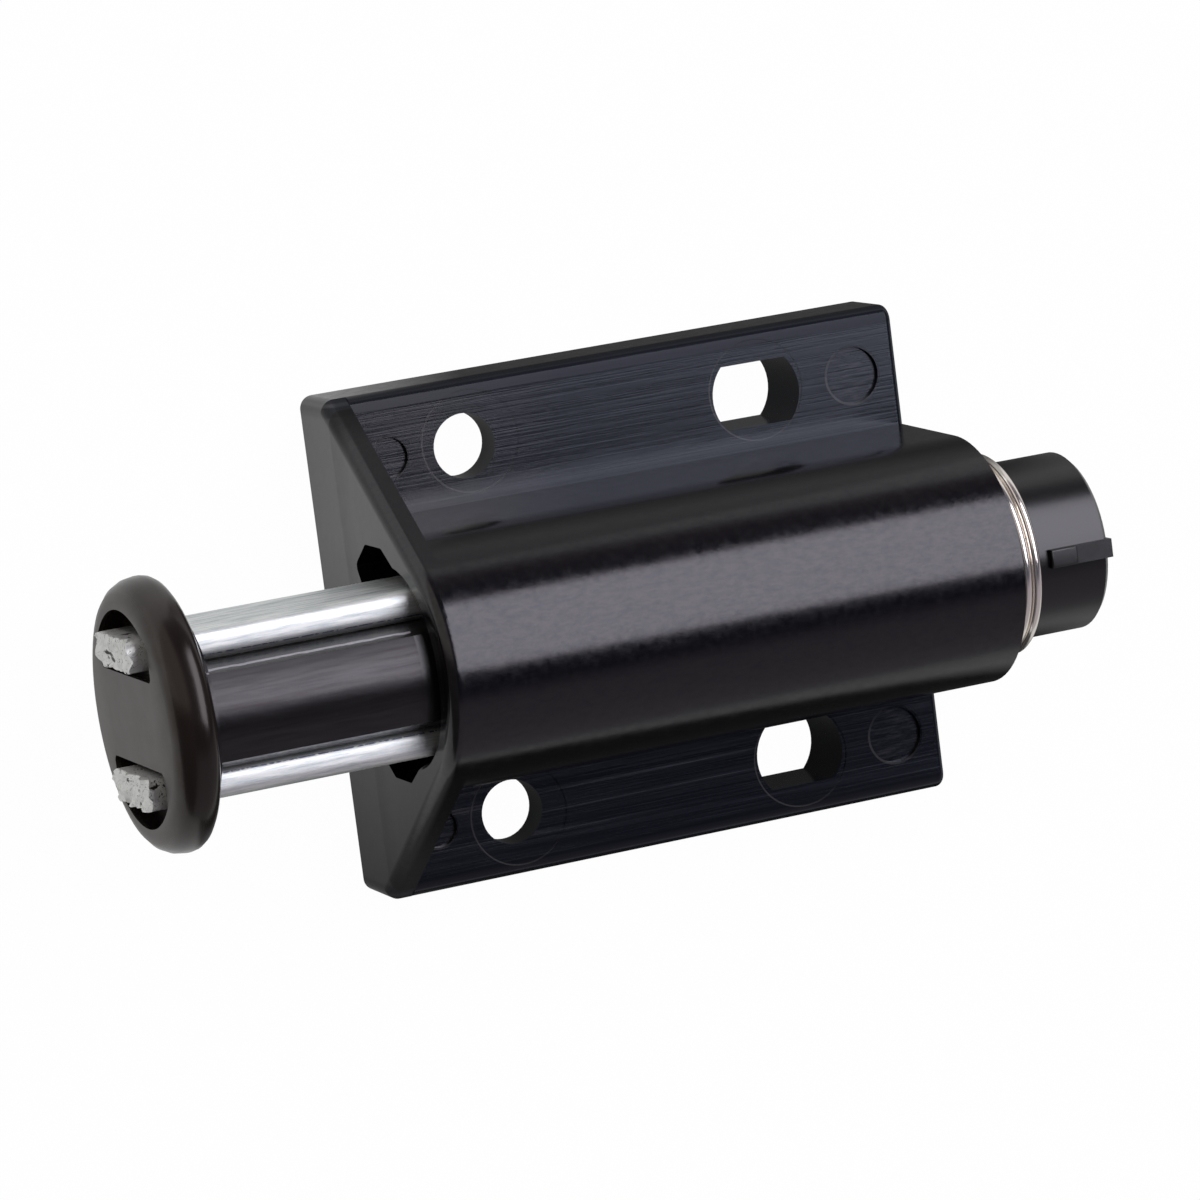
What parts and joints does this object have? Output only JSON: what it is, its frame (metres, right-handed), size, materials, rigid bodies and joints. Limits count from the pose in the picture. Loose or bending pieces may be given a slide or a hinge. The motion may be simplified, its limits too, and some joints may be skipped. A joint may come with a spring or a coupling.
{
  "type": "push to open catch",
  "caption": "Screw-on push to open catch: moulded barrel on a flanged base, with a sprung magnetic plunger that slides in when the door is pressed.",
  "frame": {"origin": "centre of the back face of the base, which lies against the cabinet", "axes": "+X along the plunger, in the direction it is pushed in; -X towards the door and the magnetic head; +Z out of the cabinet's face; Y across the two flanges"},
  "size_m": [0.0767, 0.038, 0.0249],
  "materials": {
    "housing_plastic": "semi-gloss black moulded plastic with fine scratches",
    "plunger_plastic": "satin black moulded plastic",
    "zinc_plated_steel": "bright zinc plate with drawn streaks and sheared ends",
    "magnet_ceramic": "dull dark ceramic",
    "follower_wire": "bright drawn wire",
    "spring_wire": "bright nickel plated spring wire"
  },
  "bodies": {
    "base": {"housing": "housing_plastic", "return_spring": "spring_wire"},
    "slider": {"plunger": "plunger_plastic", "pole_bar_left": "zinc_plated_steel", "pole_bar_right": "zinc_plated_steel", "magnet": "magnet_ceramic"},
    "follower": {"cam_follower": "follower_wire"}
  },
  "joints": [
    {"name": "plunger_slide", "type": "slide", "parent": "base", "child": "slider", "axis": [1, 0, 0], "range_m": [0, 0.0145], "stiffness_N_per_m": 180, "springref_m": -0.015, "deforming": ["return_spring"]},
    {"name": "follower_swing", "type": "hinge", "parent": "base", "child": "follower", "pos_m": [0.0059, -0.00185, 0.0028], "axis": [0, 0, -1], "range_deg": [0, 18]}
  ]
}
